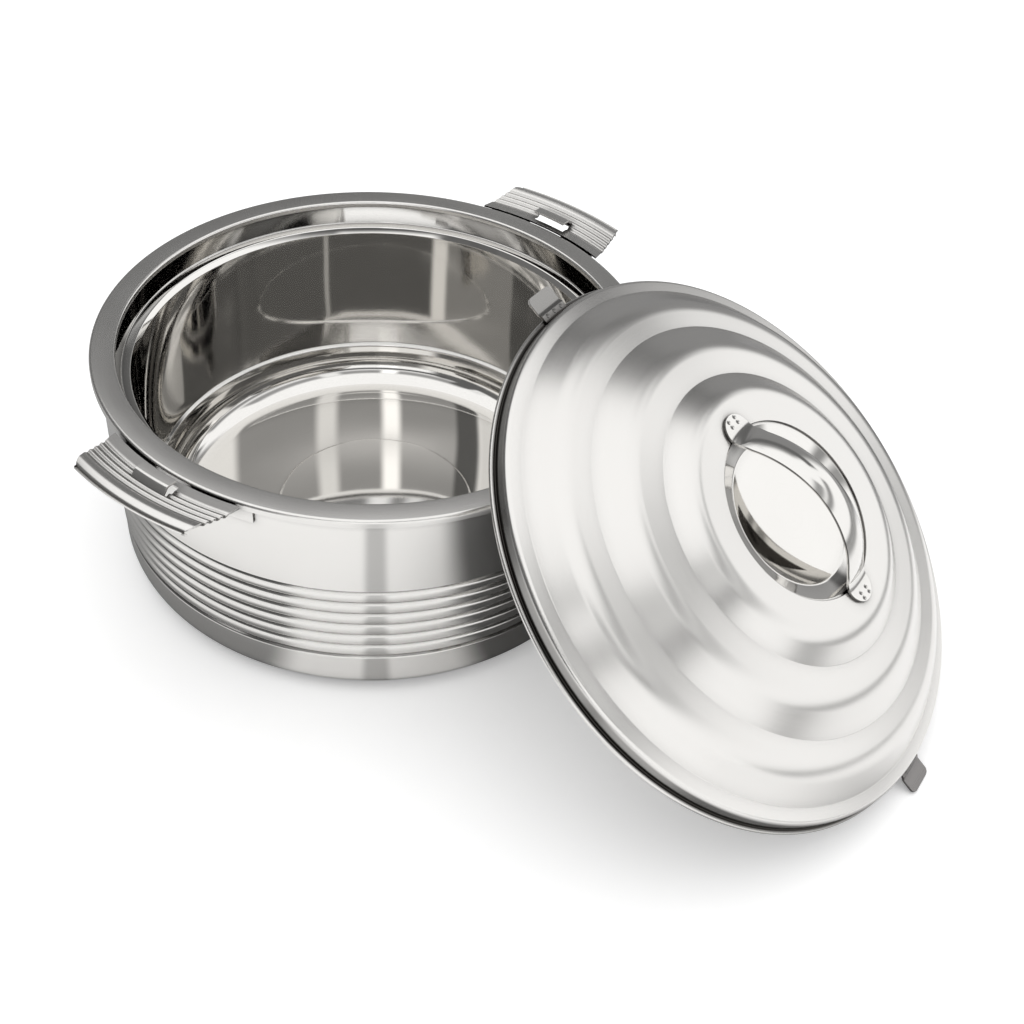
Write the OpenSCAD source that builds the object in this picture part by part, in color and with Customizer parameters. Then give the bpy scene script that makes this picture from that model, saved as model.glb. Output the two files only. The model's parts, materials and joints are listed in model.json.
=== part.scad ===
// Insulated chapati casserole: a double-walled steel bowl with two fluted
// handles, and a tiered lid that leans against it, off the bowl.
// +Z is up. The origin is the centre of the bowl's flat underside.
// The handles lie close to the Y axis, and the lid leans on the +X side.

/* [Sheet metal] */
// Thickness of the steel sheet of shells, lid and rim, mm
sheet_t = 0.8; // [0.6:0.1:1.2]
// Thickness of the steel of handles, brackets and lock lugs, mm
plate_t = 1; // [0.8:0.1:1.4]
// Gap between the foam filling and the steel around it, mm
foam_gap = 0.2; // [0.1:0.1:0.5]

/* [Bowl outside] */
// Outer radius of the rim, mm
rim_r = 125; // [115:1:135]
// Height of the bowl from the floor to the top of its rim, mm
bowl_h = 108.5; // [100:0.5:120]
// Width of the flat band on top of the rim, mm
rim_band_w = 11.2; // [9:0.1:14]
// Height of the rim's turned-down outer edge, mm
rim_edge_h = 3.4; // [2.6:0.1:4.5]
// How far the rim stands out past the wall below it, mm
rim_overhang = 3.5; // [2.5:0.1:5]
// Radius of the bend on the rim's outer edge, mm
rim_bend = 1.5; // [1:0.1:2.2]
// Height of the top of the ribbed zone, mm
rib_top_z = 65.3; // [60:0.1:72]
// Number of ribs
rib_count = 6; // [4:1:7]
// Distance from one rib to the next, mm
rib_pitch = 6.75; // [5.5:0.05:7.5]
// Depth of the grooves between the ribs, mm
rib_depth = 1.3; // [0.8:0.1:1.8]
// How much smaller each rib is in radius than the one above, mm
rib_step = 0.3; // [0.1:0.05:0.5]
// Radius of the bend between the shell's side and its bottom, mm
foot_bend = 15; // [12:0.5:18]
// Width of the flat ring that the bowl stands on, mm
stand_w = 11.7; // [8:0.1:16]

/* [Bowl inside] */
// Depth of the recess that takes the lid, below the rim, mm
recess_h = 10.9; // [10:0.1:14]
// How much the recess narrows from the rim to its foot, mm
recess_draft = 1.4; // [1:0.1:2.5]
// Width of the ledge below the recess, mm
ledge_w = 5.4; // [4:0.1:8]
// How much the ledge drops towards its inner edge, mm
ledge_drop = 3; // [1.5:0.1:4]
// Height of the floor inside the bowl, mm
floor_z = 7; // [6.4:0.1:12]
// Height of the small step above the floor's corner, mm
step_z = 27.5; // [25:0.5:32]
// Width of that step, mm
step_w = 1.8; // [1:0.1:2.5]
// How much the inner wall narrows from the ledge down to the step, mm
wall_taper = 1.6; // [0.8:0.1:2.5]
// Radius of the corner between inner wall and floor, mm
corner_r = 16; // [12:0.5:17]
// Radius of the circle pressed into the floor, mm
press_r = 47; // [40:1:60]
// Height of the pressed steps in floor and lid liner, mm
press_h = 0.8; // [0.5:0.1:1.2]

/* [Base] */
// Overlap of the base plate's lip on the shell's bottom, mm
base_lap = 4; // [3:0.1:6]
// Radius of the plug that closes the foam filling hole, mm
plug_r = 4.5; // [3.5:0.1:6]
// Distance of the plug from the bowl's axis, mm
plug_x = 60; // [54:1:75]

/* [Handles] */
// Turn of the front handle about the bowl, away from the -Y side, degrees
front_turn = 1.5; // [-3:0.1:3]
// Turn of the rear handle about the bowl, away from the +Y side, degrees
rear_turn = -0.5; // [-3:0.1:3]
// Half the handle's width where it meets the rim, mm
handle_in = 35.3; // [32:0.1:40]
// Half the handle's width at its outer edge, mm
handle_out = 31.3; // [28:0.1:32]
// Gap between the rim's edge and the handle's inner edge, mm
handle_gap = 1.4; // [1:0.1:2]
// Width of the plain margin along the rim, mm
handle_margin = 5; // [4:0.1:6]
// Number of flutes pressed along the handle
flute_count = 4; // [3:1:5]
// Width of one flute, mm
flute_w = 3; // [2.6:0.1:3.4]
// Depth of a flute, mm
flute_d = 0.8; // [0.5:0.1:1]
// How much the fluted part rises outwards, mm
handle_rise = 2.6; // [1.5:0.1:3.5]
// Reach of the rounded lip past the last flute, mm
lip_w = 7.4; // [5:0.1:8]
// How far the lip turns down, mm
lip_drop = 4; // [3:0.1:5]
// Radius of the handle's outer corners in plan, mm
handle_corner = 5; // [2:0.5:6]
// Half the width of the raised bridge that takes a lock lug, mm
bridge_half = 9; // [8.8:0.1:11]
// Width of the strip of plate between the handle's inner edge and the bridge, mm
bridge_strip = 3; // [2.4:0.1:3.6]
// Radial width of the bridge's flat top, mm
bridge_w = 5; // [4.6:0.1:5.6]
// Height of the bridge's top above the handle's margin, mm
bridge_h = 4.2; // [4:0.1:5]
// Radial run of the bridge's outer slope, mm
bridge_run = 3; // [2.4:0.1:3.6]
// Height of the leg that fixes a handle's bracket to the wall, mm
bracket_h = 7.3; // [6:0.1:9]
// How far the bracket's leg reaches past the handle's ends, mm
bracket_past = 1.2; // [0.5:0.1:3]

/* [Lid] */
// How far the lid's hemmed edge stands in from the rim's edge, mm
lid_inset = 3.2; // [2.5:0.1:4]
// Width of the narrow flange around the lid's wall, mm
lid_flange = 2; // [1.8:0.1:3]
// Height of the top of the lid's upright wall, mm
lid_wall_z = 9.4; // [8:0.1:12]
// Width of the sloping shoulder from the wall to the first tier, mm
shoulder_w = 6.4; // [4:0.1:8]
// Width of the first tier, mm
tier1_w = 23.4; // [18:0.1:28]
// Width of the second tier, mm
tier2_w = 26.6; // [20:0.1:30]
// Height where the first tier begins, mm
tier1_z = 10.8; // [10:0.1:13]
// Rise of the first tier, mm
tier1_h = 12.4; // [10:0.1:15]
// Rise of the second tier, mm
tier2_h = 10.2; // [8:0.1:13]
// Rise of the third tier, mm
tier3_h = 6.9; // [5:0.1:9]
// Part of a tier's width that its steep side takes
tier_side = 0.47; // [0.4:0.01:0.6]
// Part of a tier's rise that its steep side takes
tier_lift = 0.84; // [0.75:0.01:0.95]
// Radius of the shoulder on each tier, mm
tier_bend = 16; // [8:1:20]
// Radius of the mouth of the lid's central recess, mm
mouth_r = 38.8; // [36:0.1:41]
// Depth of the central recess, mm
dish_h = 4.5; // [3.5:0.1:6]
// Slope width of the recess's side, mm
dish_side = 7.2; // [5:0.1:9]
// Depth of the plug part of the lid below its seat, mm
plug_h = 10.2; // [8:0.1:10.3]
// Gap between the lid's plug and the bowl's recess, mm
plug_gap = 1.4; // [1:0.1:2]

/* [Lid handle and lugs] */
// Width of the strap handle, mm
strap_w = 15; // [11:0.5:16]
// Height of the strap's crest above the lid's flat top, mm
strap_h = 19.2; // [17:0.1:24]
// How far the arch's ends stand in from the edge of the recess, mm
strap_inset = 1.3; // [0.5:0.1:2]
// Length of each foot of the strap, mm
strap_foot = 9; // [8:0.1:12]
// How much the strap's section is crowned, mm
strap_crown = 1.8; // [1.5:0.1:3]
// Thickness of the strap, mm
strap_t = 1.2; // [1:0.1:1.6]
// Width of a lock lug, mm
lug_w = 16; // [14:0.5:17]
// How far a lock lug reaches past the lid's edge, mm
lug_past = 10.2; // [8.5:0.1:11.5]
// How far a lock lug steps down from its weld flange, mm
lug_step = 0.9; // [0.6:0.1:1.2]
// Radius of a lock lug's outer corners, mm
lug_corner = 2.5; // [1:0.1:4]

/* [How the lid leans] */
// Tilt of the lid, degrees
lid_tilt = 36.8; // [34:0.1:42]
// Direction in which the lid leans out from the bowl, degrees
lean_azimuth = 8; // [-20:0.5:20]
// Turn of the lid about its own axis, degrees
lid_spin = -4; // [-8:0.5:8]
// Sideways shift of the lid, mm
lid_side = -5.8; // [-10:0.1:10]
// Gap between the lid and the rim it leans on, mm
lean_gap = 0.35; // [0.3:0.05:0.6]

/* [Hidden] */
$fn = 144;

wall_r = rim_r - rim_overhang;
fold_gap = 0.1;
rim_in_r = rim_r - rim_band_w;
rim_leg_h = 2.6;
// Least radius of a bend's outer surface, for sheet and for plate.
bend_r = sheet_t + foam_gap + 0.2;
plate_bend = plate_t + 0.2;
under_rim_z = bowl_h - sheet_t;
rib_foot_z = rib_top_z - rib_count * rib_pitch;
skirt_r = wall_r - rib_count * rib_step;
base_open_r = skirt_r - foot_bend - stand_w;
foam_r = skirt_r - rib_depth - 1.5 * sheet_t - foam_gap;
foam_top_z = bowl_h - 4;
liner_top_r = rim_in_r + sheet_t + fold_gap;
recess_r = rim_in_r - recess_draft;
ledge_r = recess_r - ledge_w;
inner_step_r = ledge_r - wall_taper;
handle_r = rim_r + handle_gap;
handle_top = bowl_h - 0.5;
flute_r = handle_r + handle_margin;
ridge_r = flute_r + flute_count * flute_w;
lip_r = ridge_r + lip_w;
arm_z = bowl_h - rim_edge_h - 0.8;
hem_h = 3 * sheet_t;
lid_r = rim_r - lid_inset;
lid_wall_r = lid_r - lid_flange;
tier1_r = lid_wall_r - shoulder_w;
tier2_r = tier1_r - tier1_w;
tier3_r = tier2_r - tier2_w;
strap_half = mouth_r - strap_inset;
lug_reach = lid_r + lug_past;
tier2_z = tier1_z + tier1_h;
tier3_z = tier2_z + tier2_h;
lid_top = tier3_z + tier3_h;
liner_r = recess_r - plug_gap;
weld_mark_r = 0.9;
weld_mark_d = 0.35;

// How far the lowest lug corner lies down the slope from the lid's centre.
lug_drop = (lug_reach - lug_corner) * cos(lid_spin)
         + (lug_w / 2 - lug_corner) * abs(sin(lid_spin)) + lug_corner;
lug_z = hem_h - lug_step;
lid_z = lug_drop * sin(lid_tilt) - lug_z * cos(lid_tilt);
// The rim's bend, of radius rim_bend, touches the lid's flat underside but for lean_gap.
lid_x = rim_r - rim_bend
      + (plug_h + rim_bend + lean_gap
         + (bowl_h - rim_bend - lid_z) * cos(lid_tilt)) / sin(lid_tilt);

// Unit vector along v, and v turned a quarter turn to the left.
function unit(v) = v / norm(v);
function left_of(v) = [-v[1], v[0]];
function xy(p) = [p[0], p[1]];

// Points of the arc of radius r that rounds the corner b between a and c.
function corner_arc(a, b, c, r, n) =
    let (u = unit(a - b), v = unit(c - b), half = acos(u * v) / 2,
         centre = b + unit(u + v) * r / sin(half),
         p0 = b + u * r / tan(half) - centre, p1 = b + v * r / tan(half) - centre,
         a0 = atan2(p0[1], p0[0]), a1 = atan2(p1[1], p1[0]),
         sweep = (a1 - a0 + 540) % 360 - 180)
    [for (k = [0:n]) centre + r * [cos(a0 + sweep * k / n), sin(a0 + sweep * k / n)]];

// A path given as [x, y, bend radius] corners, with its bends as n short steps.
function bent(p, n = 4) =
    [for (i = [0:len(p) - 1])
        each (i == 0 || i == len(p) - 1 || p[i][2] == 0)
            ? [xy(p[i])]
            : corner_arc(xy(p[i - 1]), xy(p[i]), xy(p[i + 1]), p[i][2], n)];

// The path moved to its left by d, with mitred corners.
function side_of(p, i) =
    let (last = len(p) - 1,
         a = left_of(unit(p[max(i, 1)] - p[max(i, 1) - 1])),
         b = left_of(unit(p[min(i, last - 1) + 1] - p[min(i, last - 1)])))
    (a + b) / (1 + a * b);
function moved_left(p, d) = [for (i = [0:len(p) - 1]) p[i] + d * side_of(p, i)];
function reversed(p) = [for (i = [len(p) - 1:-1:0]) p[i]];

// Closed section of a sheet of thickness t on the left of a path, or right where t < 0.
function sheet(p, t) = concat(p, reversed(moved_left(p, t)));

// One rib: a rounded ridge between the grooves at z and z - rib_pitch.
function rib(i) =
    let (crest = wall_r - i * rib_step, z = rib_top_z - i * rib_pitch)
    [for (k = [0:3]) [crest - rib_depth * (1 - sin(45 * k)), z - rib_pitch * k / 4]];

// Outer surface of the bowl's shell, from the rim down and in under the base.
shell_path = concat(
    [[wall_r, under_rim_z], [wall_r, rib_top_z + 0.6]],
    [for (i = [0:rib_count - 1]) each rib(i)],
    bent([[skirt_r - rib_depth, rib_foot_z, 0], [skirt_r, rib_foot_z - 1, bend_r],
          [skirt_r, 0, foot_bend], [base_open_r, 0, 0]], 8));

// Inside surface of the bowl's liner, from under the rim to the middle of the floor.
liner_path = bent([
    [wall_r - sheet_t, under_rim_z, 0],
    [liner_top_r, under_rim_z, bend_r],
    [liner_top_r, bowl_h - rim_leg_h - 0.4, 2],
    [recess_r, bowl_h - recess_h, 1],
    [ledge_r, bowl_h - recess_h - ledge_drop, bend_r + 0.3],
    [inner_step_r, step_z, 0.6],
    [inner_step_r - step_w, step_z - 1.2, bend_r],
    [inner_step_r - step_w, floor_z, corner_r],
    [press_r + 0.8, floor_z, 0.4],
    [press_r, floor_z + press_h, bend_r],
    [0, floor_z + press_h, 0]], 6);

// Upper surface of the rim's ring, from its inner edge over to its outer one.
rim_path = bent([
    [rim_in_r, bowl_h - rim_leg_h, 0],
    [rim_in_r, bowl_h, bend_r],
    [rim_r, bowl_h, max(rim_bend, bend_r)],
    [rim_r, bowl_h - rim_edge_h, 0]], 6);

// Upper surface of a handle along its radius, without the bridge.
function flute_top(r) = handle_top + handle_rise * (r - flute_r) / (ridge_r - flute_r);
function flute(i) =
    let (r = flute_r + i * flute_w)
    [[r, flute_top(r), plate_bend],
     [r + flute_w / 2, flute_top(r + flute_w / 2) - flute_d, 0.4]];
handle_path = bent(concat(
    [[handle_r, handle_top, 0]],
    [for (i = [0:flute_count - 1]) each flute(i)],
    [[ridge_r, handle_top + handle_rise, plate_bend],
     [lip_r - 1, handle_top + handle_rise + 0.4, 2.6],
     [lip_r, handle_top + handle_rise - lip_drop * 0.6, plate_bend],
     [lip_r - 1, handle_top + handle_rise - lip_drop, 0]]), 3);

// Upper surface of the raised bridge in a handle, its foot ending within the flutes' sheet.
bridge_r = handle_r + bridge_strip;
bridge_foot_r = bridge_r + bridge_w + bridge_run;
bridge_path = bent([
    [bridge_r, handle_top + bridge_h, 0],
    [bridge_r + bridge_w, handle_top + bridge_h, plate_bend],
    [bridge_foot_r, flute_top(bridge_foot_r) - 0.35 * plate_t, 0]], 4);

// Outer surface of a bracket's arm: out under the rim, up, and under the handle.
arm_path = bent([
    [wall_r + 0.1, arm_z, 0],
    [handle_r, arm_z, 0.3],
    [handle_r, handle_top - plate_t, plate_bend],
    [handle_r + handle_margin, handle_top - plate_t, 0]], 2);

// Outer surface of the lid's cover: hem, flange, wall, three tiers, recess mouth.
function tier(r0, z0, r1, rise, bend) =
    [[r0, z0, 0], [r0 - (r0 - r1) * tier_side, z0 + rise * tier_lift, bend]];
cover_path = bent(concat(
    [[lid_r - 4.2, 0, 0], [lid_r, 0, bend_r], [lid_r, hem_h, bend_r],
     [lid_wall_r, hem_h, 0.4], [lid_wall_r, lid_wall_z, 2.2]],
    tier(tier1_r, tier1_z, tier2_r, tier1_h, tier_bend),
    tier(tier2_r, tier2_z, tier3_r, tier2_h, tier_bend),
    [[tier3_r, tier3_z, 0], [tier3_r - (tier3_r - mouth_r) * 0.4, lid_top, tier_bend * 0.8],
     [mouth_r, lid_top, 0]]), 6);

// Lower surface of the lid's liner, from its flange in the hem to its middle.
lid_liner_path = bent([
    [lid_r - sheet_t - 0.5, sheet_t, 0],
    [liner_r, sheet_t, 1],
    [liner_r - 0.8, -plug_h, 3.5],
    [press_r, -plug_h, bend_r],
    [press_r - 0.8, press_h - plug_h, 0.4],
    [0, press_h - plug_h, 0]], 5);

// Upper surface of the polished dish in the lid's recess.
dish_rim_z = lid_top - sheet_t;
dish_floor_z = lid_top - dish_h;
dish_path = bent([
    [mouth_r + 4.5, dish_rim_z, 0],
    [mouth_r - 1, dish_rim_z, bend_r],
    [mouth_r - 1 - dish_side, dish_floor_z, 3],
    [0, dish_floor_z, 0]], 5);

// A sheet turned round the Z axis, over the given angle centred on +Y.
module turned_sheet(path, t, angle = 360) {
    rotate([0, 0, angle == 360 ? 0 : 90 - angle / 2])
        rotate_extrude(angle = angle)
            polygon(sheet(path, t));
}

// Places its children, made about the lid's own axis, where the lid leans.
module leaning_lid() {
    rotate([0, 0, lean_azimuth])
        translate([lid_x, lid_side, lid_z])
            rotate([0, lid_tilt, 0])
                rotate([0, 0, lid_spin])
                    children();
}

module outer_shell() {
    color([0.72, 0.71, 0.69]) turned_sheet(shell_path, -sheet_t);
}

module inner_bowl() {
    color([0.80, 0.80, 0.79]) turned_sheet(liner_path, sheet_t);
}

module rim_ring() {
    color([0.70, 0.69, 0.68]) turned_sheet(rim_path, -sheet_t);
}

// Foam between shell and liner, with a pocket over the filling plug.
module bowl_insulation() {
    inside = [for (p = moved_left(liner_path, sheet_t + foam_gap)) if (p[1] < foam_top_z) p];
    plate_top = 2 * sheet_t + foam_gap;
    color([0.93, 0.87, 0.66]) difference() {
        rotate_extrude()
            polygon(concat(
                [[foam_r, foam_top_z], [liner_top_r + sheet_t + foam_gap, foam_top_z]],
                inside,
                bent([[0, plate_top, 0], [skirt_r - foot_bend - 1, plate_top, 2],
                      [foam_r, foot_bend + 2, 6], [foam_r, foot_bend + 12, 0]])));
        translate([plug_x, 0, 0]) cylinder(r = plug_r + 2, h = sheet_t + 3);
    }
}

// Flat plate that closes the shell's bottom, its stepped lip lapped on the shell's turned edge.
module base_plate() {
    color([0.66, 0.65, 0.64]) difference() {
        turned_sheet(bent([
            [0, 0, 0],
            [base_open_r - 4, 0, 2],
            [base_open_r - 1, sheet_t, 2],
            [base_open_r + base_lap, sheet_t, 0]]), sheet_t);
        translate([plug_x, 0, -1]) cylinder(r = plug_r, h = 6);
    }
}

// Push-in plug of the foam filling hole, with a collar above the plate.
module base_fill_plug() {
    color([0.25, 0.25, 0.26]) translate([plug_x, 0, 0]) {
        translate([0, 0, 0.1]) cylinder(r = plug_r - 0.1, h = sheet_t + 2.5);
        translate([0, 0, sheet_t]) cylinder(r = plug_r + 1.5, h = 1.2);
    }
}

// Plan outline of a handle: slanted ends and rounded outer corners.
module handle_plan() {
    outer_y = sqrt(lip_r * lip_r - handle_out * handle_out);
    polygon(bent([[handle_in, wall_r - 2, 0], [handle_out, outer_y, handle_corner],
                  [0, lip_r + 4, 0], [-handle_out, outer_y, handle_corner],
                  [-handle_in, wall_r - 2, 0], [handle_in, wall_r - 2, 0]], 5));
}

module handle_blank(path, t) {
    intersection() {
        turned_sheet(path, t, 50);
        translate([0, 0, bowl_h - 10]) linear_extrude(height = 20) handle_plan();
    }
}

// What lies within half the width w of the bridge, from radius r0 to r1.
module bridge_zone(w, r0, r1) {
    intersection() {
        translate([-w, wall_r - 10, bowl_h - 8]) cube([2 * w, 50, 20]);
        difference() {
            cylinder(r = r1, h = 300);
            translate([0, 0, -1]) cylinder(r = r0, h = 302);
        }
    }
}

// Fluted handle with its lip, and the bridge raised over a slot for the lock lug.
module handle() {
    difference() {
        handle_blank(handle_path, -plate_t);
        bridge_zone(bridge_half + 0.3, bridge_r - 0.3, bridge_foot_r - 1.6 * plate_t);
    }
    intersection() {
        turned_sheet(bridge_path, -plate_t, 50);
        bridge_zone(bridge_half, wall_r, lip_r);
    }
}

module rear_handle() {
    color([0.78, 0.77, 0.76]) rotate([0, 0, rear_turn]) handle();
}

module front_handle() {
    color([0.78, 0.77, 0.76]) rotate([0, 0, 180 + front_turn]) handle();
}

// Bracket of one handle, welded to the wall under the rim, its arm notched below the bridge.
module handle_bracket() {
    leg_angle = 2 * asin((handle_in + bracket_past) / wall_r);
    arm_angle = 2 * asin((handle_in - 5) / wall_r);
    turned_sheet([[wall_r, arm_z - bracket_h], [wall_r, arm_z - 0.25]], -plate_t, leg_angle);
    difference() {
        turned_sheet(arm_path, -plate_t, arm_angle);
        bridge_zone(bridge_half + 1, handle_r - 0.5, lip_r);
    }
}

module rear_handle_bracket() {
    color([0.62, 0.61, 0.60]) rotate([0, 0, rear_turn]) handle_bracket();
}

module front_handle_bracket() {
    color([0.62, 0.61, 0.60]) rotate([0, 0, 180 + front_turn]) handle_bracket();
}

module lid_cover() {
    color([0.84, 0.83, 0.82]) leaning_lid() turned_sheet(cover_path, sheet_t);
}

module lid_liner() {
    color([0.80, 0.80, 0.79]) leaning_lid() turned_sheet(lid_liner_path, -sheet_t);
}

// Foam between the lid's cover and liner.
module lid_insulation() {
    top = [for (p = moved_left(cover_path, sheet_t + foam_gap))
        if (p[1] > hem_h + 1 && p[0] > mouth_r + 6) p];
    bottom = [for (p = moved_left(lid_liner_path, -sheet_t - foam_gap)) if (p[1] < 0) p];
    under_dish = dish_floor_z - sheet_t - foam_gap;
    color([0.93, 0.87, 0.66]) leaning_lid() rotate_extrude()
        polygon(concat(
            [[top[0][0], hem_h]],
            top,
            [[top[len(top) - 1][0], under_dish], [0, under_dish]],
            reversed(bottom),
            [[bottom[0][0], hem_h]]));
}

// Polished dish with a flat floor, its flange under the edge of the recess.
module recess_dish() {
    color([0.9, 0.9, 0.9]) leaning_lid() turned_sheet(dish_path, sheet_t);
}

// Arched strap with a crowned section and two flat tongues for feet.
module lid_handle() {
    arch_r = (strap_half * strap_half + strap_h * strap_h) / (2 * strap_h);
    arch_z = lid_top + strap_h - arch_r;
    crown_r = (strap_w * strap_w / 4 + strap_crown * strap_crown) / (2 * strap_crown);
    // The arch ends where its own inner edge comes down to the feet's tops.
    edge_r = arch_r - strap_crown - strap_t;
    sweep = 2 * acos((lid_top - arch_z) / edge_r);
    color([0.88, 0.88, 0.88]) leaning_lid() difference() {
        union() {
            intersection() {
                translate([0, 0, arch_z]) rotate([90, 0, 0])
                    rotate([0, 0, 90 - sweep / 2]) rotate_extrude(angle = sweep)
                        intersection() {
                            difference() {
                                translate([arch_r - crown_r, 0]) circle(r = crown_r);
                                translate([arch_r - crown_r, 0]) circle(r = crown_r - strap_t);
                            }
                            translate([edge_r, -strap_w / 2]) square([20, strap_w]);
                        }
                translate([0, 0, lid_top + 50]) cube([200, 200, 100], center = true);
            }
            for (side = [0, 180])
                rotate([0, 0, side]) translate([0, 0, lid_top]) linear_extrude(height = strap_t) {
                    translate([strap_half - 2, -strap_w / 2])
                        square([strap_foot + 2 - strap_w / 2, strap_w]);
                    translate([strap_half + strap_foot - strap_w / 2, 0]) circle(d = strap_w);
                }
        }
        for (side = [0, 180], x = [0, 3.6], y = [-1.8, 1.8])
            rotate([0, 0, side])
                translate([strap_half + 2.4 + x, y, lid_top + strap_t - weld_mark_d])
                    cylinder(r = weld_mark_r, h = 1, $fn = 24);
    }
}

// Lock lug: a weld flange on the lid's hem, a small step, and the plate that locks.
module lock_lug() {
    start = lid_wall_r + 0.1;
    path = bent([[start - 1, hem_h, 0], [lid_r + 1.4, hem_h, 0.4],
                 [lid_r + 2.6, lug_z, plate_bend], [lug_reach + 1, lug_z, 0]], 3);
    difference() {
        intersection() {
            translate([0, lug_w, 0]) rotate([90, 0, 0])
                linear_extrude(height = 2 * lug_w) polygon(sheet(path, plate_t));
            linear_extrude(height = 10)
                polygon(bent([[start, 0, 0], [start, -lug_w / 2, 0.5],
                              [lug_reach, -lug_w / 2, lug_corner],
                              [lug_reach, lug_w / 2, lug_corner],
                              [start, lug_w / 2, 0.5], [start, 0, 0]], 6));
        }
        for (y = [-lug_w / 3.2, 0, lug_w / 3.2])
            translate([lid_r - 0.2, y, hem_h + plate_t - weld_mark_d])
                cylinder(r = weld_mark_r, h = 1);
    }
}

module lower_lock_lug() {
    color([0.86, 0.86, 0.86]) leaning_lid() lock_lug();
}

module upper_lock_lug() {
    color([0.86, 0.86, 0.86]) leaning_lid() rotate([0, 0, 180]) lock_lug();
}

outer_shell();
inner_bowl();
rim_ring();
bowl_insulation();
base_plate();
base_fill_plug();
front_handle();
rear_handle();
front_handle_bracket();
rear_handle_bracket();
lid_cover();
lid_liner();
lid_insulation();
recess_dish();
lid_handle();
lower_lock_lug();
upper_lock_lug();
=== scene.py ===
"""Looks of the insulated chapati casserole: an open ribbed bowl and a tiered lid leaning on it."""

import json
import math

import bmesh
import bpy
from mathutils import Matrix, Vector


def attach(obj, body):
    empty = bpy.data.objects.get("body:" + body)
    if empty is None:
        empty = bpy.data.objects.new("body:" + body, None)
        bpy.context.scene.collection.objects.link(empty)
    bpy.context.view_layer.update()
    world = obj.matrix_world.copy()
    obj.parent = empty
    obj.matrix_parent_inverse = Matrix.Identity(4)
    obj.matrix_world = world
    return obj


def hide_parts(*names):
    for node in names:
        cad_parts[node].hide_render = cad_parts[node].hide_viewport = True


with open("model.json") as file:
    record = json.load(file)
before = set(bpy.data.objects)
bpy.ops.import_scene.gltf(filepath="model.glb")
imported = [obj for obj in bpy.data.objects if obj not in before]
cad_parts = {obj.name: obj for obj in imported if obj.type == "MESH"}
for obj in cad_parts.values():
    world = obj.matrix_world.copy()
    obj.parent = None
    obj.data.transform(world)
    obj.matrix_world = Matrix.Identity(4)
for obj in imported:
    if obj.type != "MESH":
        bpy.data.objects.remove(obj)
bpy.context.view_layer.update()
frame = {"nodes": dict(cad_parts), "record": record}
MM = 0.001

# ---------------------------------------------------------------- sizes, mm

SHEET = 0.8                  # thickness of shells, lid and rim
PLATE = 1.0                  # thickness of handles and lock lugs
BEND = 1.2                   # least radius of a bend in the sheet

RIM_R = 125.0
BOWL_H = 108.5
RIM_BAND = 11.2              # width of the rim's flat band
RIM_EDGE_H = 3.4             # height of its turned-down edge
RIM_BEND = 1.5
WALL_R = RIM_R - 3.5
RIB_TOP_Z = 65.3
RIB_COUNT = 6
RIB_PITCH = 6.75
RIB_DEPTH = 1.3
RIB_STEP = 0.3               # each rib is smaller than the one above by this
FOOT_BEND = 15.0
BASE_OPEN_R = WALL_R - RIB_COUNT * RIB_STEP - FOOT_BEND - 11.7

RECESS_R = RIM_R - RIM_BAND - 1.4
RECESS_H = 10.9              # depth of the recess that takes the lid
LEDGE_R = RECESS_R - 5.4
LEDGE_DROP = 3.0
STEP_R = LEDGE_R - 1.6
STEP_Z = 27.5                # height of the small step round the bottom
STEP_W = 1.8
FLOOR_Z = 7.0
FLOOR_CORNER = 16.0
PRESS_R = 47.0               # circle pressed into the floor
PRESS_H = 0.8

HANDLE_R = RIM_R + 1.4
HANDLE_TOP = BOWL_H - 0.5
HANDLE_IN = 35.3             # half width at the rim
HANDLE_OUT = 31.3            # half width at the outer edge
HANDLE_CORNER = 5.0
HANDLE_RISE = 2.6
HANDLE_TURNS = {"rear_handle": -0.5, "front_handle": 181.5}      # degrees about the bowl
FLUTE_R = HANDLE_R + 5
FLUTE_W = 3.0
FLUTE_D = 0.8
FLUTE_COUNT = 4
RIDGE_R = FLUTE_R + FLUTE_COUNT * FLUTE_W
LIP_R = RIDGE_R + 7.4        # the handle's outline ends here
LIP_DROP = 4.0
LIP_BACK = 1.0               # how far the folded lip stays inside LIP_R
BRIDGE_HALF = 9.0
BRIDGE_R = HANDLE_R + 3
BRIDGE_W = 5.0
BRIDGE_H = 4.2
BRIDGE_FOOT_R = BRIDGE_R + BRIDGE_W + 3
SLOT_OUT_R = BRIDGE_FOOT_R - 1.6

LID_R = RIM_R - 3.2
LID_WALL_R = LID_R - 2
LID_WALL_Z = 9.4
HEM_H = 3 * SHEET            # three sheets folded together
TIER_R = (LID_WALL_R - 6.4, LID_WALL_R - 29.8, LID_WALL_R - 56.4)
TIER_Z = (10.8, 23.2, 33.4)
LID_TOP = 40.3
TIER_SIDE = 0.47             # part of a tier's width that its steep side takes
TIER_LIFT = 0.84             # part of its rise that the steep side takes
TIER_BEND = 16.0
MOUTH_R = 38.8               # central recess of the lid
DISH_H = 4.5                 # how deep the polished dish lies
DISH_SIDE = 7.2
PLUG_H = 10.2                # how far the liner drops below the hem
LID_LINER_R = RECESS_R - 1.4

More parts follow.
